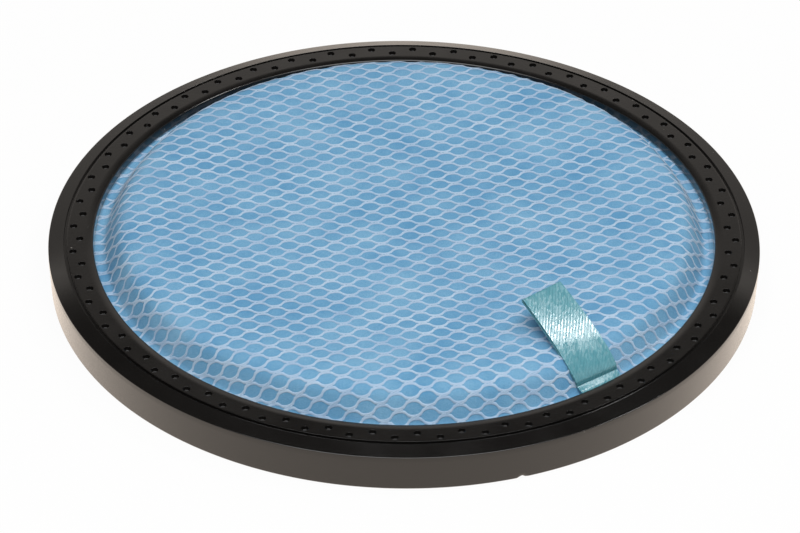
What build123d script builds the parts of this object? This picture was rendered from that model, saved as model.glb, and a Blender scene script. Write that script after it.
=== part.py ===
from build123d import *
from math import radians, tan
import os

# Round filter for a vacuum cleaner: a moulded rubber rim that grips the flange of a soft pad,
# a knitted net over the pad, and a folded ribbon to pull the filter out by.
# Millimetres, +Z up. The origin is the centre of the rim's base.

# Rubber rim
rim_radius = 75.0          # sealing land, the widest part of the rim
rim_height = 9.3           # base to the flat band with the pin holes
land_height = 1.1          # height of the sealing land
wall_draft = 3.0           # taper of the outer wall, degrees
base_break = 0.3           # broken outer base edge
throat_break = 0.4         # broken edge from the inner wall up to the flat band
band_width = 6.0           # flat band, from the inner wall to the groove
groove_width = 0.35        # thin groove round the flat band
groove_depth = 0.6
bevel_width = 3.45         # bevelled band, from the groove to the sealing land
bevel_step = 0.1           # drop from the flat band to the bevelled band
bevel_drop = 1.05          # fall of the bevelled band down to the land
land_break = 0.35          # broken edge between the bevelled band and the land

# Holes left by the mould pins that held the pad's edge, in two staggered rows
pin_count = 48             # holes in each row
pin_hole_diameter = 1.45
pin_hole_sides = 6
pin_hole_depth = 0.9
pin_row_inset = 2.1        # from the edge of the flat band to the middle of the two rows
pin_row_gap = 1.5          # from one row to the other

# Small nick in the outer base edge
nick_angle = -107.4
nick_width = 2.6
nick_depth = 0.45

# Slot in the rim that grips the pad's flange and the edge of the net
grip_cover = 1.9           # rubber over the net's edge, below the flat band
grip_reach = 5.6           # depth of the slot from the throat

# Soft pad
flange_thick = 2.0
flange_show = 2.0          # flange seen between the rim and the foot of the pad
pad_rise = 4.9             # top of the pad above the flat band
pad_recess = 1.2           # underside of the pad above the rim's base
crown_run = 6.0            # outer part of the top, where it starts to fall
crown_slope = 5.0          # slopes in degrees
shoulder_run = 3.1         # bend from the top into the side
shoulder_slope = 35.0
side_slope = 60.0
under_slope = 42.0         # side of the pad underneath

# Knitted net: each gap here stands for a patch of the fine hexagonal meshes
net_thick = 0.4
mesh_pitch = 3.8           # from one knitted mesh to the next
meshes_per_gap = 3         # knitted meshes along each side of a patch
net_bar = 1.5              # width of the net between gaps
net_turn = 3.5             # direction of a row of meshes, degrees
net_border = 6.0           # plain border between the outermost gap centres and the foot of the pad

# Pull ribbon, folded double
ribbon_angle = -88.0       # place of the ribbon round the rim
ribbon_width = 10.0
ribbon_thick = 0.2
loop_gap = 0.2             # space between the two layers
tail_length = 4.2          # held inside the rim
tail_show = 0.25           # flat stretch in front of the throat
bend_radius = 1.0          # crease where the ribbon turns up
bend_turn = 60.0
arch_radius = 26.0         # long arch up and over the pad
arch_turn = 50.0

# Levels and radii that follow from the sizes above
band_radius = rim_radius - bevel_width - groove_width
throat_radius = band_radius - band_width
pin_row_radius = band_radius - pin_row_inset
bevel_top = rim_height - bevel_step
land_top = bevel_top - bevel_drop
land_base = land_top - land_height
base_radius = rim_radius - land_base * tan(radians(wall_draft))
grip_radius = throat_radius + grip_reach
grip_roof = rim_height - grip_cover
flange_top = grip_roof - net_thick
flange_base = flange_top - flange_thick
pad_top = rim_height + pad_rise
shoulder_top = pad_top - crown_run * tan(radians(crown_slope))
side_top = shoulder_top - shoulder_run * tan(radians(shoulder_slope))
pad_foot_radius = throat_radius - flange_show
side_radius = pad_foot_radius - (side_top - flange_top) / tan(radians(side_slope))
shoulder_radius = side_radius - shoulder_run
plateau_radius = shoulder_radius - crown_run
under_radius = pad_foot_radius - (flange_base - pad_recess) / tan(radians(under_slope))
ribbon_stack = 2 * ribbon_thick + loop_gap
ribbon_level = grip_roof + ribbon_stack / 2
inward = Vector(-1, 0, 0).rotate(Axis.Z, ribbon_angle)
ribbon_root = Vector(throat_radius, 0, 0).rotate(Axis.Z, ribbon_angle)
ribbon_plane = Plane(origin=ribbon_root, x_dir=inward, z_dir=inward.cross(Vector(0, 0, 1)))

# Section of the pad's top face, from the axis to its edge in the rim
pad_top_section = [
    (0, pad_top),
    (plateau_radius, pad_top),
    (shoulder_radius, shoulder_top),
    (side_radius, side_top),
    (pad_foot_radius, flange_top),
    (grip_radius, flange_top),
]

os.makedirs("parts", exist_ok=True)

# Rubber rim: one turned section, with the slot for the pad's edge open to the throat
with BuildPart() as seal_rim:
    with BuildSketch(Plane.XZ) as rim_section:
        with BuildLine():
            Polyline(
                (throat_radius, 0),
                (base_radius, 0),
                (rim_radius, land_base),
                (rim_radius, land_top),
                (band_radius + groove_width, bevel_top),
                (band_radius + groove_width, rim_height - groove_depth),
                (band_radius, rim_height - groove_depth),
                (band_radius, rim_height),
                (throat_radius, rim_height),
                (throat_radius, grip_roof),
                (grip_radius, grip_roof),
                (grip_radius, flange_base),
                (throat_radius, flange_base),
                close=True,
            )
        make_face()
        chamfer(rim_section.vertices().sort_by_distance((base_radius, 0))[0], base_break)
        chamfer(rim_section.vertices().sort_by_distance((throat_radius, rim_height))[0], throat_break)
        chamfer(rim_section.vertices().sort_by_distance((rim_radius, land_top))[0], land_break)
    revolve(axis=Axis.Z)

    # Pin holes: the outer row starts on the X axis and the inner row lies half a step on
    with BuildSketch(Plane.XY.offset(rim_height)):
        with PolarLocations(pin_row_radius + pin_row_gap / 2, pin_count):
            RegularPolygon(pin_hole_diameter / 2, pin_hole_sides)
        with PolarLocations(pin_row_radius - pin_row_gap / 2, pin_count, start_angle=180 / pin_count):
            RegularPolygon(pin_hole_diameter / 2, pin_hole_sides)
    extrude(amount=-pin_hole_depth, mode=Mode.SUBTRACT)

    # Pocket for the ribbon's tails, on top of the net's edge and open to the throat
    with BuildSketch(ribbon_plane):
        with Locations((-tail_length, ribbon_level)):
            Rectangle(tail_length + flange_show, ribbon_stack, align=(Align.MIN, Align.CENTER))
    extrude(amount=ribbon_width / 2, both=True, mode=Mode.SUBTRACT)

    # Nick in the base edge
    nick_spot = Vector(base_radius, 0, 0).rotate(Axis.Z, nick_angle)
    with BuildSketch(Plane(origin=nick_spot, x_dir=(0, 0, 1), z_dir=nick_spot.normalized())):
        Ellipse(nick_depth, nick_width / 2)
    extrude(amount=-nick_width / 2, both=True, mode=Mode.SUBTRACT)

seal_rim.part.label = "seal_rim"
export_step(seal_rim.part, "parts/seal_rim.step")

# Soft pad: a round cushion that thins to a flange, gripped by the rim
with BuildPart() as filter_pad:
    with BuildSketch(Plane.XZ):
        with BuildLine():
            Polyline(
                *pad_top_section,
                (grip_radius, flange_base),
                (pad_foot_radius, flange_base),
                (under_radius, pad_recess),
                (0, pad_recess),
                close=True,
            )
        make_face()
    revolve(axis=Axis.Z)

filter_pad.part.label = "filter_pad"
export_step(filter_pad.part, "parts/filter_pad.step")

# Knitted net: a thin cover on the pad's top face, opened by staggered six-sided gaps
gap_pitch = mesh_pitch * meshes_per_gap
gap_reach = pad_foot_radius - net_border
row_step = Vector(gap_pitch, 0).rotate(Axis.Z, net_turn)
slant_step = Vector(gap_pitch, 0).rotate(Axis.Z, net_turn + 60)
ring_count = int(2 * gap_reach / gap_pitch)
gap_spots = []
for row in range(-ring_count, ring_count + 1):
    for place in range(-ring_count, ring_count + 1):
        spot = row * slant_step + place * row_step
        if spot.length < gap_reach:
            gap_spots.append(spot)

with BuildPart() as cover_net:
    with BuildSketch(Plane.XZ):
        with BuildLine():
            Polyline(*pad_top_section)
            offset(amount=net_thick, side=Side.LEFT, kind=Kind.INTERSECTION)
        make_face()
    revolve(axis=Axis.Z)
    with BuildSketch(Plane.XY.offset(flange_top)):
        with Locations(*gap_spots):
            RegularPolygon((gap_pitch - net_bar) / 2, 6, major_radius=False, rotation=net_turn + 30)
    extrude(amount=pad_top + 2 * net_thick - flange_top, mode=Mode.SUBTRACT)

cover_net.part.label = "cover_net"
export_step(cover_net.part, "parts/cover_net.step")

# Pull ribbon: one strip folded double, its tails flat in the rim and the loop arched over the pad
with BuildPart() as pull_ribbon:
    with BuildSketch(ribbon_plane):
        with BuildLine(mode=Mode.PRIVATE) as ribbon_run:
            tail = Line((-tail_length, ribbon_level), (tail_show, ribbon_level))
            bend = JernArc(tail @ 1, tail % 1, bend_radius, bend_turn)
            arch = JernArc(bend @ 1, bend % 1, arch_radius, -arch_turn)
        trace(ribbon_run.line, line_width=ribbon_stack)
        with Locations(arch @ 1):
            Circle(ribbon_stack / 2)
        trace(arch, line_width=loop_gap, mode=Mode.SUBTRACT)
        with Locations(arch @ 1):
            Circle(loop_gap / 2, mode=Mode.SUBTRACT)
    extrude(amount=ribbon_width / 2, both=True)

pull_ribbon.part.label = "pull_ribbon"
export_step(pull_ribbon.part, "parts/pull_ribbon.step")
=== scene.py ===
import math

import bmesh
import bpy
from mathutils import Matrix, Vector, noise


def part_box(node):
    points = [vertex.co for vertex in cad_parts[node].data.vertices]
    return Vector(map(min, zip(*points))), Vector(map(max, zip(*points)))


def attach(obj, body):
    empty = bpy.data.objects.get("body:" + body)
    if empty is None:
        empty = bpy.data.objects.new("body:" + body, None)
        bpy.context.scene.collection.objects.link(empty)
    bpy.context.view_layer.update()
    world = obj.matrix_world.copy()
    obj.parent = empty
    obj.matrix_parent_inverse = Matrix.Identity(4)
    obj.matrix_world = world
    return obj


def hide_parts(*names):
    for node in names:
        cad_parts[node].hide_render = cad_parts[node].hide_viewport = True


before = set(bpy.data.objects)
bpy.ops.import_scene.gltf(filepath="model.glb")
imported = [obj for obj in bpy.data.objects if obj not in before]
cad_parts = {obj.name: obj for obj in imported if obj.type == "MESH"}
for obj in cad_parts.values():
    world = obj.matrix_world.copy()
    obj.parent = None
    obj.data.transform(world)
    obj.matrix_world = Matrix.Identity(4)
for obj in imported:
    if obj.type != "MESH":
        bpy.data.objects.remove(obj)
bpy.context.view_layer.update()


# Soft filter pad: a round cushion of blue needled felt, pressed to shape with a domed edge.
# Round its edge the felt is pressed thin into a flange, and the rim is moulded round that flange.
MM = 0.001
pad_low, pad_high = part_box("filter_pad")
pad_top = pad_high.z
pad_edge = pad_high.x
flange_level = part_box("cover_net")[0].z
flange_thick = 2.0 * MM
foot_radius = 63.2 * MM        # where the side would meet the flange without its bend
crown_bend = 35.0 * MM         # radii of the bends, from the flat top down to the flange
shoulder_bend = 4.5 * MM
foot_bend = 1.3 * MM
under_bend = 3.0 * MM
crown_slope = math.radians(10)
side_slope = math.radians(60)
under_slope = math.radians(42)
section_step = 0.5 * MM        # longest stretch between two points of the section
under_rings = 20
turn_count = 180
weld_distance = 0.002 * MM
felt_swell = 0.05 * MM         # uneven height of the felt, fading out towards the foot
swell_fade = 12 * MM
broad_swell = 55               # swells to a metre
fine_swell = 140
under_swell = -0.6             # share of the swell on the underside, outwards too
felt_blue = (0.220, 0.450, 0.650, 1)
felt_deep = (0.105, 0.305, 0.525, 1)


def bent_line(start, runs, step):
    """Points along a section made of runs, each a length and the slope in radians that it ends at."""
    across, height = start
    points = [(across, height)]
    slope = runs[0][1]
    for length, end_slope in runs:
        pieces = max(1, math.ceil(length / step))
        for piece in range(pieces):
            middle = slope + (end_slope - slope) * (piece + 0.5) / pieces
            across += length / pieces * math.cos(middle)
            height += length / pieces * math.sin(middle)
            points.append((across, height))
        slope = end_slope
    return points


def mesh_object(name, verts, faces):
    """A smooth mesh object with merged doubles and faces that point outwards."""
    mesh = bpy.data.meshes.new(name)
    mesh.from_pydata([tuple(v) for v in verts], [], faces)
    shape = bmesh.new()
    shape.from_mesh(mesh)
    bmesh.ops.remove_doubles(shape, verts=shape.verts, dist=weld_distance)
    bmesh.ops.recalc_face_normals(shape, faces=shape.faces)
    shape.to_mesh(mesh)
    shape.free()
    mesh.shade_smooth()
    piece = bpy.data.objects.new(name, mesh)
    bpy.context.scene.collection.objects.link(piece)
    return piece


def add_node(tree, kind, inputs=None, **settings):
    """A node with its settings. Each input is a plain value, or another node's output to link."""
    made = tree.nodes.new(kind)
    for name, value in settings.items():
        setattr(made, name, value)
    for key, value in (inputs or {}).items():
        if isinstance(value, bpy.types.NodeSocket):
            tree.links.new(value, made.inputs[key])
        else:
            made.inputs[key].default_value = value
    return made


def new_finish(name, settings):
    """A material with one Principled shader, whose constant values are set on its own sockets."""
    finish = bpy.data.materials.new(name)
    finish.use_nodes = True
    shader = finish.node_tree.nodes["Principled BSDF"]
    for key, value in settings.items():
        shader.inputs[key].default_value = value
    return finish, finish.node_tree, shader


def blend_colour(tree, share, first, second):
    """A colour between two others by a share that changes over the surface."""
    mix = add_node(tree, "ShaderNodeMix", {0: share}, data_type="RGBA")
    for socket, value in ((mix.inputs[6], first), (mix.inputs[7], second)):
        if isinstance(value, bpy.types.NodeSocket):
            tree.links.new(value, socket)
        else:
            socket.default_value = value
    return mix.outputs[2]


# Fine fibres, shared by the felt, the yarn and the ribbon: a mottled share and a height.
fibre_grain = bpy.data.node_groups.new("fibre_grain", "ShaderNodeTree")
for label, way, kind in (
        ("Place", "INPUT", "Vector"), ("Fibres", "INPUT", "Float"), ("Cloud", "INPUT", "Float"),
        ("Share", "OUTPUT", "Float"), ("Height", "OUTPUT", "Float")):
    fibre_grain.interface.new_socket(label, in_out=way, socket_type="NodeSocket" + kind)
grain_in = fibre_grain.nodes.new("NodeGroupInput").outputs
broad_cloud = add_node(fibre_grain, "ShaderNodeTexNoise", {
    "Vector": grain_in["Place"], "Scale": grain_in["Cloud"], "Detail": 3.0})
fine_hairs = add_node(fibre_grain, "ShaderNodeTexNoise", {
    "Vector": grain_in["Place"], "Scale": grain_in["Fibres"], "Detail": 4.0,
    "Roughness": 0.65, "Distortion": 1.6})
hair_lines = add_node(fibre_grain, "ShaderNodeTexVoronoi", {
    "Vector": grain_in["Place"], "Scale": grain_in["Fibres"]}, feature="DISTANCE_TO_EDGE")
grain_share = add_node(fibre_grain, "ShaderNodeMath", {
    0: broad_cloud.outputs["Fac"], 1: fine_hairs.outputs["Fac"]}, operation="MULTIPLY")
wide_share = add_node(fibre_grain, "ShaderNodeMapRange", {
    "Value": grain_share.outputs[0], "From Min": 0.12, "From Max": 0.40})
grain_height = add_node(fibre_grain, "ShaderNodeMath", {
    0: hair_lines.outputs["Distance"], 1: fine_hairs.outputs["Fac"]}, operation="ADD")
add_node(fibre_grain, "NodeGroupOutput", {
    "Share": wide_share.outputs[0], "Height": grain_height.outputs[0]})


def lay_fibres(tree, place, fibres, cloud):
    """The shared fibre group, set to a material's own scale."""
    return add_node(tree, "ShaderNodeGroup", {
        "Place": place, "Fibres": fibres, "Cloud": cloud}, node_tree=fibre_grain).outputs


# The section runs from the axis over the top and the side to the edge, and back underneath.
drop = pad_top - flange_level
arc_drop = (crown_bend * (1 - math.cos(crown_slope))
            + shoulder_bend * (math.cos(crown_slope) - math.cos(side_slope))
            + foot_bend * (1 - math.cos(side_slope)))
side_run = (drop - arc_drop) / math.sin(side_slope)
foot_end = foot_radius + foot_bend * math.tan(side_slope / 2)
arc_reach = (crown_bend * math.sin(crown_slope)
             + shoulder_bend * (math.sin(side_slope) - math.sin(crown_slope))
             + side_run * math.cos(side_slope) + foot_bend * math.sin(side_slope))
plateau_run = foot_end - arc_reach
top_section = bent_line((0, pad_top), [
    (plateau_run, 0),
    (crown_bend * crown_slope, -crown_slope),
    (shoulder_bend * (side_slope - crown_slope), -side_slope),
    (side_run, -side_slope),
    (foot_bend * side_slope, 0),
    (pad_edge - foot_end, 0),
], section_step)
under_level = flange_level - flange_thick
under_rise = under_level - pad_low.z
under_corner = under_bend * math.tan(under_slope / 2)
under_run = under_rise / math.sin(under_slope) - 2 * under_corner
under_section = bent_line((pad_edge, under_level), [
    (pad_edge - foot_radius - under_corner, math.pi),
    (under_bend * under_slope, math.pi + under_slope),
    (under_run, math.pi + under_slope),
    (under_bend * under_slope, math.pi),
], section_step)
flat_under = under_section[-1][0]
for ring in range(under_rings - 1, -1, -1):
    under_section.append((flat_under * ring / under_rings, pad_low.z))
pad_verts = []
for number, (radius, height) in enumerate(top_section + under_section):
    on_top = number < len(top_section)
    for turn in range(turn_count):
        angle = 2 * math.pi * turn / turn_count
        spot = Vector((radius * math.cos(angle), radius * math.sin(angle), height))
        if radius < foot_radius:
            fade = min(1, (foot_radius - radius) / swell_fade)
            swell = noise.noise(spot * broad_swell) + 0.5 * noise.noise(spot * fine_swell)
            spot.z += felt_swell * fade * swell * (1 if on_top else under_swell)
        pad_verts.append(spot)
ring_count = len(top_section + under_section)
pad_faces = [
    (ring * turn_count + turn, ring * turn_count + (turn + 1) % turn_count,
     (ring + 1) * turn_count + (turn + 1) % turn_count, (ring + 1) * turn_count + turn)
    for ring in range(ring_count - 1) for turn in range(turn_count)]
felt_pad = mesh_object("felt_pad", pad_verts, pad_faces)

felt, tree, shader = new_finish("blue_felt", {
    "Roughness": 0.95, "Specular IOR Level": 0.25, "Sheen Weight": 0.1, "Sheen Roughness": 0.5,
    "Sheen Tint": (0.62, 0.80, 1.0, 1)})
place = add_node(tree, "ShaderNodeTexCoord").outputs["Object"]
fibres = lay_fibres(tree, place, 2600.0, 90.0)
tree.links.new(blend_colour(tree, fibres["Share"], felt_deep, felt_blue), shader.inputs["Base Color"])
felt_bump = add_node(tree, "ShaderNodeBump", {
    "Height": fibres["Height"], "Strength": 0.35, "Distance": 0.12 * MM})
tree.links.new(felt_bump.outputs["Normal"], shader.inputs["Normal"])
felt_pad.data.materials.append(felt)
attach(felt_pad, "root")
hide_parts("filter_pad")


# Knitted net: a hexagonal warp-knit cover of pale polyester yarn, stretched over the pad.
# Two yarns twist round each other in every bar and part at its ends, and the edge runs into the rim.
course_pitch = 6.386 * MM      # one repeat along the bars
row_pitch = 3.847 * MM         # one repeat across them
yarn_apart = 0.33 * MM         # from the middle of a bar to each of its yarns
yarn_radius = 0.26 * MM
yarn_flat = 0.40               # height of the pressed yarn as a share of its width
yarn_sides = 4
stitch_lift = 0.06 * MM
stitch_width = 0.8
net_lift = 0.08 * MM           # from the felt to the middle of the yarn
net_turn = math.radians(-26.98)
net_skew = -0.029
net_bow = 0.46                 # bending of the rows, and their spread, for each metre of distance
net_spread = 0.32
net_start = (-0.13 * MM, -2.20 * MM, 0)
net_columns = 27
net_rows = 43
edge_trim = 4.2 * MM
net_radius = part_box("cover_net")[1].x - edge_trim
join_distance = 0.02 * MM
least_run = 0.001 * MM
crisp_angle = math.radians(50)
yarn_white = (0.500, 0.650, 0.800, 1)
yarn_shade = (0.310, 0.470, 0.670, 1)

# One repeat: two yarns that meet in bars and part between them, and a stitch laced across each bar.
# Half a yarn's way is given by shares of its run, its climb and its width.
half_way = [(0, 0, 0.9), (0.24, 0.03, 1.15), (0.36, 0.14, 1.3), (0.45, 0.36, 1.0),
            (0.55, 0.64, 1.0), (0.64, 0.86, 1.3), (0.76, 0.97, 1.15), (1, 1, 0.9)]
yarn_way = [(-share, climb, wide) for share, climb, wide in half_way[:0:-1]] + half_way
stitch_way = [(-0.85, -0.22), (-0.30, 0.22), (0.30, -0.22), (0.85, 0.22)]
repeat_lines = []
for side in (1, -1):
    repeat_lines.append([
        (share * course_pitch / 2, side * (yarn_apart + (row_pitch / 2 - 2 * yarn_apart) * climb), 0)
        for share, climb, wide in yarn_way])
for middle, away in ((0, 0), (course_pitch / 2, row_pitch / 2)):
    repeat_lines.append([
        (middle + along * MM, away + aside * MM, stitch_lift) for along, aside in stitch_way])
repeat_verts = []
repeat_edges = []
for line in repeat_lines:
    first = len(repeat_verts)
    repeat_edges += [(first + number, first + number + 1) for number in range(len(line) - 1)]
    repeat_verts += line
repeat_mesh = bpy.data.meshes.new("net_repeat")
repeat_mesh.from_pydata(repeat_verts, repeat_edges, [])
yarn_width = repeat_mesh.attributes.new("yarn_width", "FLOAT", "POINT")
for number in range(len(repeat_verts)):
    on_yarn = number < 2 * len(yarn_way)
    yarn_width.data[number].value = yarn_way[number % len(yarn_way)][2] if on_yarn else stitch_width
net_maker = bpy.data.objects.new("net_repeat", repeat_mesh)
bpy.context.scene.collection.objects.link(net_maker)

# The pad's top section as a curve, for the net to follow.
section_curve = bpy.data.curves.new("pad_section", "CURVE")
section_curve.dimensions = "3D"
section_line = section_curve.splines.new("POLY")
section_line.points.add(len(top_section) - 1)
for point, (radius, height) in zip(section_line.points, top_section):
    point.co = (radius, 0, height, 1)
pad_section = bpy.data.objects.new("pad_section", section_curve)
bpy.context.scene.collection.objects.link(pad_section)
section_length = sum(math.dist(a, b) for a, b in zip(top_section, top_section[1:]))
net_reach = section_length - (pad_edge - net_radius)

yarn, tree, shader = new_finish("net_yarn", {
    "Roughness": 0.6, "Specular IOR Level": 0.4, "Sheen Weight": 0.2, "Sheen Roughness": 0.4})
place = add_node(tree, "ShaderNodeTexCoord").outputs["Object"]
fibres = lay_fibres(tree, place, 5200.0, 160.0)
tree.links.new(blend_colour(tree, fibres["Share"], yarn_shade, yarn_white), shader.inputs["Base Color"])
yarn_bump = add_node(tree, "ShaderNodeBump", {
    "Height": fibres["Height"], "Strength": 0.4, "Distance": 0.05 * MM})
tree.links.new(yarn_bump.outputs["Normal"], shader.inputs["Normal"])


def maths(tree, operation, *values):
    """One Math node's output."""
    return add_node(tree, "ShaderNodeMath", dict(enumerate(values)), operation=operation).outputs[0]


def bake_nodes(maker, tree, sockets, values, name):
    """The plain mesh that a node tree makes on an object, with the tree's inputs set first."""
    modifier = maker.modifiers.new(name, "NODES")
    modifier.node_group = tree
    for label, value in values.items():
        modifier[sockets[label].identifier] = value
    bpy.context.view_layer.update()
    shown = maker.evaluated_get(bpy.context.evaluated_depsgraph_get())
    mesh = bpy.data.meshes.new_from_object(shown)
    mesh.name = name
    maker.modifiers.remove(modifier)
    bpy.data.objects.remove(maker)
    piece = bpy.data.objects.new(name, mesh)
    bpy.context.scene.collection.objects.link(piece)
    return piece


net_tree = bpy.data.node_groups.new("draped_net", "GeometryNodeTree")
net_sockets = {}
for label, kind in (
        ("Repeat", "Geometry"), ("Columns", "Int"), ("Rows", "Int"), ("Course pitch", "Float"),
        ("Row pitch", "Float"), ("Skew", "Float"), ("Bow", "Float"), ("Spread", "Float"),
        ("Turn", "Float"), ("Start", "Vector"), ("Section", "Object"), ("Reach", "Float"),
        ("Lift", "Float"), ("Yarn radius", "Float"), ("Yarn flat", "Float"), ("Yarn sides", "Int"),
        ("Finish", "Material")):
    net_sockets[label] = net_tree.interface.new_socket(
        label, in_out="INPUT", socket_type="NodeSocket" + kind)
net_tree.interface.new_socket("Net", in_out="OUTPUT", socket_type="NodeSocketGeometry")
given = net_tree.nodes.new("NodeGroupInput").outputs

# Repeats side by side make the flat net, whose yarn ends are then joined.
last_column = maths(net_tree, "SUBTRACT", given["Columns"], 1.0)
last_row = maths(net_tree, "SUBTRACT", given["Rows"], 1.0)
spots = add_node(net_tree, "GeometryNodeMeshGrid", {
    "Size X": maths(net_tree, "MULTIPLY", last_column, given["Course pitch"]),
    "Size Y": maths(net_tree, "MULTIPLY", last_row, given["Row pitch"]),
    "Vertices X": given["Columns"], "Vertices Y": given["Rows"]})
copies = add_node(net_tree, "GeometryNodeInstanceOnPoints", {
    "Points": spots.outputs["Mesh"], "Instance": given["Repeat"]})
laid = add_node(net_tree, "GeometryNodeRealizeInstances", {"Geometry": copies.outputs["Instances"]})
joined = add_node(net_tree, "GeometryNodeMergeByDistance", {
    "Geometry": laid.outputs["Geometry"], "Distance": join_distance})

# The flat net is skewed, bowed and turned as it was stretched over the pad.
flat = add_node(net_tree, "ShaderNodeSeparateXYZ", {
    0: add_node(net_tree, "GeometryNodeInputPosition").outputs[0]}).outputs
skewed = maths(net_tree, "MULTIPLY_ADD", flat["Y"], given["Skew"], flat["X"])
across_square = maths(net_tree, "MULTIPLY", flat["X"], flat["X"])
along_square = maths(net_tree, "MULTIPLY", flat["Y"], flat["Y"])
bowed = maths(net_tree, "MULTIPLY_ADD", across_square, given["Bow"], maths(
    net_tree, "MULTIPLY_ADD", along_square, given["Spread"], flat["Y"]))
pulled = add_node(net_tree, "ShaderNodeCombineXYZ", {"X": skewed, "Y": bowed, "Z": flat["Z"]})
shifted = add_node(net_tree, "ShaderNodeVectorMath", {
    0: pulled.outputs[0], 1: given["Start"]}, operation="ADD")
turned = add_node(net_tree, "ShaderNodeVectorRotate", {
    "Vector": shifted.outputs[0], "Angle": given["Turn"]}, rotation_type="Z_AXIS")
stretched = add_node(net_tree, "GeometryNodeSetPosition", {
    "Geometry": joined.outputs["Geometry"], "Position": turned.outputs[0]})

# Yarn past the net's edge is cut off, and the rest follows the pad's section down its side.
lie = add_node(net_tree, "ShaderNodeSeparateXYZ", {
    0: add_node(net_tree, "GeometryNodeInputPosition").outputs[0]}).outputs
run = maths(net_tree, "SQRT", maths(
    net_tree, "MULTIPLY_ADD", lie["X"], lie["X"], maths(net_tree, "MULTIPLY", lie["Y"], lie["Y"])))
cut = add_node(net_tree, "GeometryNodeDeleteGeometry", {
    "Geometry": stretched.outputs["Geometry"],
    "Selection": maths(net_tree, "GREATER_THAN", run, given["Reach"])}, domain="POINT")
section_shape = add_node(net_tree, "GeometryNodeObjectInfo", {"Object": given["Section"]})
under = add_node(net_tree, "GeometryNodeSampleCurve", {
    "Curves": section_shape.outputs["Geometry"], "Length": run}, mode="LENGTH")
foot = add_node(net_tree, "ShaderNodeSeparateXYZ", {0: under.outputs["Position"]}).outputs
lean = add_node(net_tree, "ShaderNodeSeparateXYZ", {0: under.outputs["Tangent"]}).outputs
above = maths(net_tree, "ADD", lie["Z"], given["Lift"])
out = maths(net_tree, "SUBTRACT", foot["X"], maths(net_tree, "MULTIPLY", lean["Z"], above))
up = maths(net_tree, "MULTIPLY_ADD", lean["X"], above, foot["Z"])
spread = maths(net_tree, "DIVIDE", out, maths(net_tree, "MAXIMUM", run, least_run))
marked = add_node(net_tree, "GeometryNodeCaptureAttribute", {"Geometry": cut.outputs["Geometry"]})
marked.capture_items.new("VECTOR", "Facing")
around = maths(net_tree, "DIVIDE", lean["Z"], maths(net_tree, "MINIMUM", maths(
    net_tree, "MULTIPLY", run, -1.0), -least_run))
facing = add_node(net_tree, "ShaderNodeCombineXYZ", {
    "X": maths(net_tree, "MULTIPLY", lie["X"], around),
    "Y": maths(net_tree, "MULTIPLY", lie["Y"], around), "Z": lean["X"]})
net_tree.links.new(facing.outputs[0], marked.inputs["Facing"])
draped = add_node(net_tree, "GeometryNodeSetPosition", {
    "Geometry": marked.outputs["Geometry"],
    "Position": add_node(net_tree, "ShaderNodeCombineXYZ", {
        "X": maths(net_tree, "MULTIPLY", lie["X"], spread),
        "Y": maths(net_tree, "MULTIPLY", lie["Y"], spread), "Z": up}).outputs[0]})

# Each line becomes a yarn, pressed flat on the felt under it.
lines = add_node(net_tree, "GeometryNodeMeshToCurve", {"Mesh": draped.outputs["Geometry"]})
level_lines = add_node(net_tree, "GeometryNodeSetCurveNormal", {
    "Curve": lines.outputs["Curve"]}, mode="FREE")
net_tree.links.new(marked.outputs["Facing"], level_lines.inputs["Normal"])
yarn_ring = add_node(net_tree, "GeometryNodeCurvePrimitiveCircle", {
    "Resolution": given["Yarn sides"], "Radius": given["Yarn radius"]})
flat_ring = add_node(net_tree, "GeometryNodeTransform", {
    "Geometry": yarn_ring.outputs["Curve"],
    "Scale": add_node(net_tree, "ShaderNodeCombineXYZ", {
        "X": given["Yarn flat"], "Y": 1.0, "Z": 1.0}).outputs[0]})
widths = add_node(net_tree, "GeometryNodeInputNamedAttribute", {"Name": "yarn_width"})
yarns = add_node(net_tree, "GeometryNodeCurveToMesh", {
    "Curve": level_lines.outputs["Curve"], "Profile Curve": flat_ring.outputs["Geometry"],
    "Scale": widths.outputs["Attribute"], "Fill Caps": True})
real_yarns = add_node(net_tree, "GeometryNodeRealizeInstances", {"Geometry": yarns.outputs["Mesh"]})
finished = add_node(net_tree, "GeometryNodeSetMaterial", {
    "Geometry": real_yarns.outputs["Geometry"], "Material": given["Finish"]})
add_node(net_tree, "NodeGroupOutput", {"Net": finished.outputs["Geometry"]})

net_cover = bake_nodes(net_maker, net_tree, net_sockets, {
    "Columns": net_columns, "Rows": net_rows, "Course pitch": course_pitch, "Row pitch": row_pitch,
    "Skew": net_skew, "Bow": net_bow, "Spread": net_spread, "Turn": net_turn, "Start": net_start,
    "Section": pad_section, "Reach": net_reach, "Lift": net_lift, "Yarn radius": yarn_radius,
    "Yarn flat": yarn_flat, "Yarn sides": yarn_sides, "Finish": yarn}, "net_cover")
bpy.data.objects.remove(pad_section)
net_cover.data.shade_smooth()
net_cover.data.set_sharp_from_angle(angle=crisp_angle)
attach(net_cover, "root")
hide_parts("cover_net")


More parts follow.
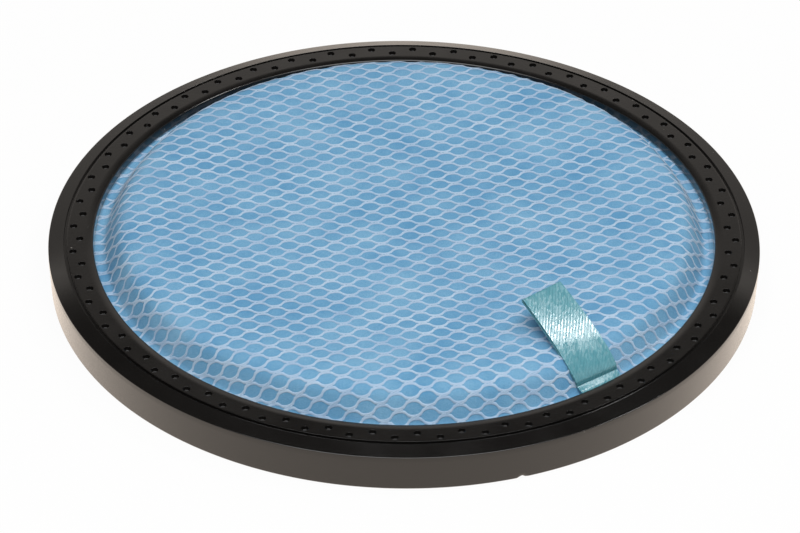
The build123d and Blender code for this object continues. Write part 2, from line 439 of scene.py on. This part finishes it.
# Pull ribbon: one strip of teal satin, woven with lengthwise floats and folded double into a loop.
# Both tails are caught in the rim's inner wall, and the loop springs up over the edge of the pad.
ribbon_angle = math.radians(-88)
ribbon_width = 10.0 * MM
ribbon_thick = 0.18 * MM
ribbon_level = 7.75 * MM
ribbon_step = 0.15 * MM        # longest stretch between two points along the ribbon
throat_radius = 65.2 * MM
tail_length = 4.0 * MM         # held in the rim
tail_show = 0.15 * MM
root_length = 2.0 * MM         # from the rim to the place where the layers start to part
root_gap = 0.13 * MM           # from the middle of the loop to each layer
loop_gap = 0.36 * MM
open_share = 0.62              # share of the loop where its layers lie furthest apart
fold_steps = 8
root_skew = -0.12              # the ribbon leaves the rim askew, rolled, pinched and a little aside
end_skew = 0.02
skew_fade = 1.0 * MM
root_roll = 0.08
roll_run = 2.0 * MM
root_pinch = 0.06
root_shift = 0.4 * MM
hold_share = 3                 # the pinch and the shift are gone at one part in three of the loop
across_count = 12
satin_teal = (0.140, 0.390, 0.455, 1)
satin_deep = (0.080, 0.275, 0.340, 1)

# The ribbon's run from the rim to its fold: each length in millimetres, and the slope that it ends at.
rising_runs = [
    (0.5, 50), (0.5, 28), (1.3, 27), (0.3, 92), (0.7, 86), (0.5, 52), (1.5, 45), (3.2, 34),
    (3.6, 30), (3.6, 26), (3.6, 24), (4.7, 23)]
loop_start = tail_length + root_length
ribbon_run = bent_line(
    (-tail_length, ribbon_level),
    [(tail_length + tail_show, 0)] + [(length * MM, math.radians(slope)) for length, slope in rising_runs],
    ribbon_step)
run_lengths = [0]
for a, b in zip(ribbon_run, ribbon_run[1:]):
    run_lengths.append(run_lengths[-1] + math.dist(a, b))
ribbon_line = []
for layer in (1, -1):
    stops = []
    for number, (across, height) in enumerate(ribbon_run):
        before = ribbon_run[max(0, number - 1)]
        after = ribbon_run[min(len(ribbon_run) - 1, number + 1)]
        slope = math.atan2(after[1] - before[1], after[0] - before[0])
        share = max(0, (run_lengths[number] - loop_start) / (run_lengths[-1] - loop_start))
        opening = math.sin(math.pi * min(share, open_share) / (2 * open_share))
        gap = root_gap + (loop_gap - root_gap) * opening
        stops.append((
            across - layer * gap * math.sin(slope), height + layer * gap * math.cos(slope), share))
    ribbon_line += stops if layer == 1 else stops[::-1]
    if layer == 1:
        tip, tip_slope, tip_gap = ribbon_run[-1], slope, gap
        for turn in range(1, fold_steps):
            angle = tip_slope + math.pi / 2 - math.pi * turn / fold_steps
            ribbon_line.append((
                tip[0] + tip_gap * math.cos(angle), tip[1] + tip_gap * math.sin(angle), 1))

# The strip is laid across that line, with a map of its width and length for the weave.
inward = Vector((-math.cos(ribbon_angle), -math.sin(ribbon_angle), 0))
sideways = Vector((-math.sin(ribbon_angle), math.cos(ribbon_angle), 0))
throat_spot = -inward * throat_radius
ribbon_verts = []
ribbon_marks = []
strip_length = 0
for number, (across, height, share) in enumerate(ribbon_line):
    if number:
        strip_length += math.dist((across, height), ribbon_line[number - 1][:2])
    if across > 0:
        skew = root_skew + (end_skew - root_skew) * share
    else:
        skew = root_skew * max(0, 1 + across / skew_fade)
    hold = max(0, 1 - hold_share * share) ** 2
    for step in range(across_count + 1):
        side = ribbon_width * (step / across_count - 0.5)
        lean = side * root_roll * (1 - share) * min(1, max(0, across / roll_run))
        ribbon_verts.append(
            throat_spot + inward * (across + side * skew)
            + sideways * (side * (1 - root_pinch * hold) + root_shift * hold)
            + Vector((0, 0, height + lean)))
        ribbon_marks.append((step / across_count, strip_length / ribbon_width))
row = across_count + 1
ribbon_faces = [
    (number * row + step, number * row + step + 1,
     (number + 1) * row + step + 1, (number + 1) * row + step)
    for number in range(len(ribbon_line) - 1) for step in range(across_count)]
strip_mesh = bpy.data.meshes.new("ribbon_strip")
strip_mesh.from_pydata(ribbon_verts, [], ribbon_faces)
strip_map = strip_mesh.uv_layers.new(name="strip")
for loop in strip_mesh.loops:
    strip_map.data[loop.index].uv = ribbon_marks[loop.vertex_index]
strip_mesh.shade_smooth()
strip = bpy.data.objects.new("ribbon_strip", strip_mesh)
bpy.context.scene.collection.objects.link(strip)
body = strip.modifiers.new("body", "SOLIDIFY")
body.thickness = ribbon_thick
body.offset = 0
bpy.context.view_layer.update()
shown = strip.evaluated_get(bpy.context.evaluated_depsgraph_get())
ribbon_mesh = bpy.data.meshes.new_from_object(shown)
bpy.data.objects.remove(strip)
ribbon_mesh.name = "ribbon_loop"
ribbon_mesh.set_sharp_from_angle(angle=crisp_angle)
ribbon_loop = bpy.data.objects.new("ribbon_loop", ribbon_mesh)
bpy.context.scene.collection.objects.link(ribbon_loop)

satin, tree, shader = new_finish("teal_satin", {"IOR": 1.6, "Specular IOR Level": 1.0})
strip_place = add_node(tree, "ShaderNodeUVMap", uv_map="strip").outputs["UV"]
float_lines = add_node(tree, "ShaderNodeMapping", {"Vector": strip_place, "Scale": (1.0, 0.06, 1.0)})
fibres = lay_fibres(tree, float_lines.outputs["Vector"], 60.0, 7.0)
slant = add_node(tree, "ShaderNodeMapping", {
    "Vector": strip_place, "Rotation": (0, 0, math.radians(38))})
twill = add_node(tree, "ShaderNodeTexWave", {
    "Vector": slant.outputs["Vector"], "Scale": 5.0, "Distortion": 1.5,
    "Detail": 2.0, "Detail Scale": 3.0})
float_place = add_node(tree, "ShaderNodeMapping", {
    "Vector": slant.outputs["Vector"], "Scale": (1.0, 0.4, 1.0)})
floats = add_node(tree, "ShaderNodeTexVoronoi", {"Vector": float_place.outputs["Vector"], "Scale": 30.0})
float_share = add_node(tree, "ShaderNodeSeparateColor", {"Color": floats.outputs["Color"]}).outputs["Red"]
thread_light = maths(tree, "MULTIPLY_ADD", twill.outputs["Fac"], 0.35, maths(
    tree, "MULTIPLY", fibres["Share"], 0.75))
tree.links.new(blend_colour(tree, thread_light, satin_deep, satin_teal), shader.inputs["Base Color"])
float_gloss = add_node(tree, "ShaderNodeMapRange", {
    "Value": float_share, "To Min": 0.08, "To Max": 0.32})
tree.links.new(float_gloss.outputs[0], shader.inputs["Roughness"])
satin_bump = add_node(tree, "ShaderNodeBump", {
    "Height": maths(tree, "ADD", floats.outputs["Distance"], twill.outputs["Fac"]),
    "Strength": 0.16, "Distance": 0.05 * MM})
tree.links.new(satin_bump.outputs["Normal"], shader.inputs["Normal"])
ribbon_loop.data.materials.append(satin)
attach(ribbon_loop, "root")
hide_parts("pull_ribbon")


# Sealing rim: one ring of black rubber, moulded round the edges of the pad, the net and the ribbon.
# Pins in the mould held the felt down, and left two staggered rows of small blind holes.
rim_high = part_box("seal_rim")[1]
rim_radius = rim_high.x        # sealing land, the widest part
rim_top = rim_high.z           # flat band with the pin holes
base_radius = 74.63 * MM
band_radius = 71.05 * MM
groove_width = 0.7 * MM
groove_base = rim_top - 0.7 * MM
bevel_top = rim_top - 0.1 * MM
land_top = bevel_top - 1.05 * MM
land_base = land_top - 1.1 * MM
mouth_radius = 65.5 * MM       # inner edge of the flat band, over the throat
slot_roof = 7.4 * MM           # slot that holds the pad's flange
slot_floor = under_level
slot_radius = pad_edge
arc_steps = 4
arc_flat = 0.04 * MM           # short flat beside each rounding, so that the faces next to it look flat
pin_count = 48                 # holes in each row
pin_radius = 0.78 * MM
pin_depth = 0.9 * MM
pin_lip = 0.03 * MM            # rounding of a hole's edge
floor_round = 0.03 * MM        # broken edge between a hole's wall and its floor
outer_row = 69.85 * MM
inner_row = 68.35 * MM
seam_distance = 0.004 * MM
level_slack = 0.001 * MM
row_margin = 0.95 * MM         # from the middle of a row to the end of the faces round its holes
hole_sides = 8                 # faces along each of the four sides round a hole
nick_angle = math.radians(-107.4)
nick_half = 0.8 * MM
nick_depth = 0.28 * MM
nick_rows = ((0.052 * MM, 1.0 * MM), (0.068 * MM, 1.3 * MM))    # extra wall points over the nick
nick_reach = 1.5 * MM
rubber_black = (0.0045, 0.0041, 0.0039, 1)
rubber_bloom = (0.0085, 0.0078, 0.0072, 1)
dust_grey = (0.32, 0.30, 0.28, 1)


def rounded_section(corners, steps):
    """A closed section from corners (radius, height, rounding), with a short flat beside each arc."""
    points = []
    for number, (across, height, rounding) in enumerate(corners):
        corner = Vector((across, height))
        back = (Vector(corners[number - 1][:2]) - corner).normalized()
        ahead = (Vector(corners[(number + 1) % len(corners)][:2]) - corner).normalized()
        if not rounding:
            points.append(corner)
            continue
        half = math.acos(max(-1, min(1, back.dot(ahead)))) / 2
        middle = corner + (back + ahead).normalized() * rounding / math.sin(half)
        start = corner + back * rounding / math.tan(half) - middle
        end = corner + ahead * rounding / math.tan(half) - middle
        sweep = start.angle_signed(end)
        points.append(middle + start + back * arc_flat)
        for step in range(steps + 1):
            angle = -sweep * step / steps
            points.append(middle + Matrix.Rotation(angle, 2) @ start)
        points.append(middle + end + ahead * arc_flat)
    return points


# The section's corners, from the base round the outside, over the top and down into the slot.
band_span = outer_row - inner_row + 2 * row_margin
band_rows = [outer_row + row_margin - band_span * step / hole_sides for step in range(hole_sides + 1)]
rim_corners = [(throat_radius, 0, 0.3 * MM), (base_radius, 0, 0.3 * MM)]
rim_corners += [(base_radius + away, height, 0) for away, height in nick_rows]
rim_corners += [
    (rim_radius, land_base, 0.25 * MM), (rim_radius, land_top, 0.15 * MM),
    (band_radius + groove_width, bevel_top, 0.04 * MM),
    (band_radius + groove_width, groove_base, 0.1 * MM), (band_radius, groove_base, 0.1 * MM),
    (band_radius, rim_top, 0.04 * MM), (mouth_radius, rim_top, 0.4 * MM),
    (throat_radius, slot_roof, 0.2 * MM), (slot_radius, slot_roof, 0), (slot_radius, slot_floor, 0),
    (throat_radius, slot_floor, 0.2 * MM)]
rim_section = [tuple(point) for point in rounded_section(rim_corners, arc_steps)]
on_band = [number for number, point in enumerate(rim_section) if abs(point[1] - rim_top) < level_slack]
band_start, band_end = on_band[0], on_band[-1]
rim_section[band_start + 1:band_end] = [(radius, rim_top) for radius in band_rows]
hole_row = band_start + 1

# One wedge of the rim holds one hole of each row, side by side.
wedge_steps = 2 * hole_sides
wedge = 2 * math.pi / pin_count
wedge_start = -wedge / 4
column_count = wedge_steps + 1
wedge_verts = []
for radius, height in rim_section:
    for column in range(column_count):
        angle = wedge_start + wedge * column / wedge_steps
        wedge_verts.append((radius * math.cos(angle), radius * math.sin(angle), height))
wedge_faces = []
for number in range(len(rim_section)):
    below = (number + 1) % len(rim_section)
    for column in range(wedge_steps):
        if not hole_row <= number < hole_row + hole_sides:
            wedge_faces.append((number * column_count + column, number * column_count + column + 1,
                                below * column_count + column + 1, below * column_count + column))
for row_radius, left, angle in ((outer_row, 0, 0.0), (inner_row, hole_sides, wedge / 2)):
    right = left + hole_sides
    edge = [(hole_row + hole_sides - step, right) for step in range(hole_sides)]
    edge += [(hole_row, right - step) for step in range(hole_sides)]
    edge += [(hole_row + step, left) for step in range(hole_sides)]
    edge += [(hole_row + hole_sides, left + step) for step in range(hole_sides)]
    ring = [row_number * column_count + column for row_number, column in edge]
    outwards = Vector((math.cos(angle), math.sin(angle), 0))
    along = Vector((-math.sin(angle), math.cos(angle), 0))
    centre = outwards * row_radius + Vector((0, 0, rim_top))
    lip = [(pin_radius + pin_lip * (1 - math.sin(turn)), pin_lip * (1 - math.cos(turn)))
           for turn in (0, math.pi / 6, math.pi / 3, math.pi / 2)]
    levels = [(pin_radius + 1.4 * pin_lip, 0)] + lip
    levels += [(pin_radius, pin_depth - floor_round), (pin_radius - floor_round, pin_depth),
               (pin_radius - 2 * floor_round, pin_depth)]
    for radius, depth in levels:
        start = len(wedge_verts)
        for number in range(len(ring)):
            turn = 2 * math.pi * (number - hole_sides / 2) / len(ring)
            wedge_verts.append(
                centre + along * radius * math.cos(turn) + outwards * radius * math.sin(turn)
                - Vector((0, 0, depth)))
        new_ring = list(range(start, start + len(ring)))
        for number in range(len(ring)):
            following = (number + 1) % len(ring)
            wedge_faces.append((ring[number], ring[following], new_ring[following], new_ring[number]))
        ring = new_ring
    wedge_faces.append(tuple(ring))
wedge_mesh = bpy.data.meshes.new("rim_wedge")
wedge_mesh.from_pydata([tuple(v) for v in wedge_verts], [], wedge_faces)
rim_maker = bpy.data.objects.new("rim_wedge", wedge_mesh)
bpy.context.scene.collection.objects.link(rim_maker)

# Wedges turned about the axis make the whole rim, and their shared edges are joined.
rim_tree = bpy.data.node_groups.new("round_rim", "GeometryNodeTree")
rim_sockets = {}
for label, kind in (("Wedge", "Geometry"), ("Count", "Int"), ("Finish", "Material")):
    rim_sockets[label] = rim_tree.interface.new_socket(
        label, in_out="INPUT", socket_type="NodeSocket" + kind)
rim_tree.interface.new_socket("Rim", in_out="OUTPUT", socket_type="NodeSocketGeometry")
given = rim_tree.nodes.new("NodeGroupInput").outputs
turns = add_node(rim_tree, "GeometryNodeMeshLine", {"Count": given["Count"], "Offset": (0, 0, 0)})
wedge_angle = maths(rim_tree, "MULTIPLY", add_node(rim_tree, "GeometryNodeInputIndex").outputs[0],
                    maths(rim_tree, "DIVIDE", 2 * math.pi, given["Count"]))
wedges = add_node(rim_tree, "GeometryNodeInstanceOnPoints", {
    "Points": turns.outputs["Mesh"], "Instance": given["Wedge"],
    "Rotation": add_node(rim_tree, "ShaderNodeCombineXYZ", {"Z": wedge_angle}).outputs[0]})
whole = add_node(rim_tree, "GeometryNodeRealizeInstances", {"Geometry": wedges.outputs["Instances"]})
closed = add_node(rim_tree, "GeometryNodeMergeByDistance", {
    "Geometry": whole.outputs["Geometry"], "Distance": seam_distance})
finished = add_node(rim_tree, "GeometryNodeSetMaterial", {
    "Geometry": closed.outputs["Geometry"], "Material": given["Finish"]})
add_node(rim_tree, "NodeGroupOutput", {"Rim": finished.outputs["Geometry"]})

rubber, tree, shader = new_finish("black_rubber", {
    "Specular IOR Level": 0.2, "Coat Weight": 1.0, "Coat IOR": 1.5,
    "Sheen Roughness": 0.35, "Sheen Tint": (1.0, 0.84, 0.70, 1)})
place = add_node(tree, "ShaderNodeTexCoord").outputs["Object"]
bloom = add_node(tree, "ShaderNodeTexNoise", {
    "Vector": place, "Scale": 70.0, "Detail": 5.0, "Roughness": 0.6})
grain = add_node(tree, "ShaderNodeTexNoise", {"Vector": place, "Scale": 2200.0, "Detail": 3.0})
specks = add_node(tree, "ShaderNodeTexVoronoi", {"Vector": place, "Scale": 260.0})
speck_size = maths(tree, "MULTIPLY", add_node(tree, "ShaderNodeTexNoise", {
    "Vector": place, "Scale": 45.0}).outputs["Fac"], 0.16)
speck_mask = maths(tree, "LESS_THAN", specks.outputs["Distance"], maths(
    tree, "SUBTRACT", speck_size, 0.062))
rubber_colour = blend_colour(tree, bloom.outputs["Fac"], rubber_black, rubber_bloom)
tree.links.new(blend_colour(tree, maths(tree, "MULTIPLY", speck_mask, 0.5), rubber_colour, dust_grey),
               shader.inputs["Base Color"])
gloss = add_node(tree, "ShaderNodeMapRange", {
    "Value": bloom.outputs["Fac"], "From Min": 0.3, "From Max": 0.7, "To Min": 0.12, "To Max": 0.18})
tree.links.new(gloss.outputs[0], shader.inputs["Roughness"])
tree.links.new(gloss.outputs[0], shader.inputs["Coat Roughness"])
wall_height = add_node(tree, "ShaderNodeSeparateXYZ", {0: place}).outputs["Z"]
wall_dust = add_node(tree, "ShaderNodeMapRange", {
    "Value": wall_height, "From Min": land_base, "From Max": land_top, "To Min": 0.56, "To Max": 0.0})
tree.links.new(wall_dust.outputs[0], shader.inputs["Sheen Weight"])
rubber_bump = add_node(tree, "ShaderNodeBump", {
    "Height": grain.outputs["Fac"], "Strength": 0.10, "Distance": 0.03 * MM})
tree.links.new(rubber_bump.outputs["Normal"], shader.inputs["Normal"])
tree.links.new(rubber_bump.outputs["Normal"], shader.inputs["Coat Normal"])

rubber_rim = bake_nodes(rim_maker, rim_tree, rim_sockets, {
    "Count": pin_count, "Finish": rubber}, "rubber_rim")

# The nick is pressed into the base edge, inwards and up.
nick_spot = Vector((math.cos(nick_angle), math.sin(nick_angle), 0)) * base_radius
shape = bmesh.new()
shape.from_mesh(rubber_rim.data)
for vert in shape.verts:
    near = (vert.co - nick_spot).length / nick_half
    if near < 1 and vert.co.z < nick_reach:
        push = nick_depth * (1 - near * near)
        vert.co += Vector((-nick_spot.x, -nick_spot.y, 0)).normalized() * push + Vector((0, 0, push))
bmesh.ops.recalc_face_normals(shape, faces=shape.faces)
shape.to_mesh(rubber_rim.data)
shape.free()
rubber_rim.data.shade_smooth()
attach(rubber_rim, "root")
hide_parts("seal_rim")


# Table, light and camera: a plain white table under a wide soft lamp, high on the camera's side.
# A small lamp at the right lights the satin, and pale walls, brightest at middle height, show in
# the rubber's gloss.
floor_half = 2.5
floor_mesh = bpy.data.meshes.new("white_table")
floor_mesh.from_pydata([(-floor_half, -floor_half, 0), (floor_half, -floor_half, 0),
                        (floor_half, floor_half, 0), (-floor_half, floor_half, 0)], [], [(0, 1, 2, 3)])
white_table = bpy.data.objects.new("white_table", floor_mesh)
bpy.context.scene.collection.objects.link(white_table)
table_finish, tree, shader = new_finish("white_table", {
    "Base Color": (0.85, 0.85, 0.85, 1), "Roughness": 0.9})

# The table is plain white to the camera and pale in the rim's gloss, and still takes the shadow.
ray = add_node(tree, "ShaderNodeLightPath").outputs
seen = maths(tree, "MAXIMUM", ray["Is Camera Ray"], maths(
    tree, "MAXIMUM", ray["Is Glossy Ray"], ray["Is Transmission Ray"]))
glow = add_node(tree, "ShaderNodeEmission", {
    "Color": blend_colour(tree, ray["Is Camera Ray"], (1.0, 0.88, 0.77, 1), (1, 1, 1, 1)),
    "Strength": 1.0})
lit_table = add_node(tree, "ShaderNodeMixShader", {
    0: maths(tree, "MULTIPLY", seen, 0.95), 1: shader.outputs[0], 2: glow.outputs[0]})
tree.links.new(lit_table.outputs[0], tree.nodes["Material Output"].inputs["Surface"])
white_table.data.materials.append(table_finish)

# Pale walls all round, whose light changes with height.
walls = bpy.data.worlds.new("pale_walls")
bpy.context.scene.world = walls
walls.use_nodes = True
tree = walls.node_tree
up_share = add_node(tree, "ShaderNodeSeparateXYZ", {
    0: add_node(tree, "ShaderNodeTexCoord").outputs["Generated"]}).outputs["Z"]
wall_fade = add_node(tree, "ShaderNodeValToRGB", {"Fac": up_share})
wall_steps = wall_fade.color_ramp.elements
wall_steps[0].position, wall_steps[1].position = 0.48, 0.545
wall_steps.new(0.595)
for wall_step, level in zip(wall_steps, (0.24, 0.74, 0.03)):
    wall_step.color = (level, level, level, 1)
tree.links.new(wall_fade.outputs[0], tree.nodes["Background"].inputs["Strength"])
tree.nodes["Background"].inputs["Color"].default_value = (1.0, 0.93, 0.86, 1)

# The camera looks down on the rim from the front, a little to one side of the ribbon.
camera_angle = math.radians(-126.25)
camera_rise = math.radians(35.80)
camera_away = 1.050
camera_roll = math.radians(0.45)
ring_centre = Vector((0, 0, rim_top))
pixel = 0.21096 * MM           # one pixel of the picture, at the middle of the rim
aim_left = 4.16 * pixel        # from the middle of the rim to the middle of the picture
aim_down = 33.38 * pixel
towards = Vector((math.cos(camera_angle) * math.cos(camera_rise),
                  math.sin(camera_angle) * math.cos(camera_rise), math.sin(camera_rise)))
camera_spot = ring_centre + towards * camera_away
square_on = towards.to_track_quat("Z", "Y").to_matrix() @ Matrix.Rotation(camera_roll, 3, "Z")
aim = ring_centre - square_on.col[0] * aim_left - square_on.col[1] * aim_down
turn = (camera_spot - aim).to_track_quat("Z", "Y").to_matrix() @ Matrix.Rotation(camera_roll, 3, "Z")
lens = bpy.data.cameras.new("camera")
lens.sensor_width = 36
lens.lens = 223.98
lens.clip_start = 0.05
camera = bpy.data.objects.new("camera", lens)
camera.matrix_world = Matrix.Translation(camera_spot) @ turn.to_4x4()
bpy.context.scene.collection.objects.link(camera)
bpy.context.scene.camera = camera

# Each lamp has its turn from the camera, its rise in degrees, its size in metres and its power.
lamp_away = 1.2
for lamp_name, lamp_turn, lamp_rise, lamp_size, lamp_power in (
        ("high_lamp", 0, 70, 1.2, 14.8), ("small_lamp", 101, 55.5, 0.24, 2.4)):
    lamp_angle = camera_angle + math.radians(lamp_turn)
    lamp_tilt = math.radians(lamp_rise)
    lamp_way = Vector((math.cos(lamp_angle) * math.cos(lamp_tilt),
                       math.sin(lamp_angle) * math.cos(lamp_tilt), math.sin(lamp_tilt)))
    soft_lamp = bpy.data.lights.new(lamp_name, "AREA")
    soft_lamp.size = lamp_size
    soft_lamp.energy = lamp_power
    lamp = bpy.data.objects.new(lamp_name, soft_lamp)
    lamp.matrix_world = (Matrix.Translation(lamp_way * lamp_away)
                         @ lamp_way.to_track_quat("Z", "Y").to_matrix().to_4x4())
    bpy.context.scene.collection.objects.link(lamp)
bpy.context.scene.view_settings.view_transform = "Standard"
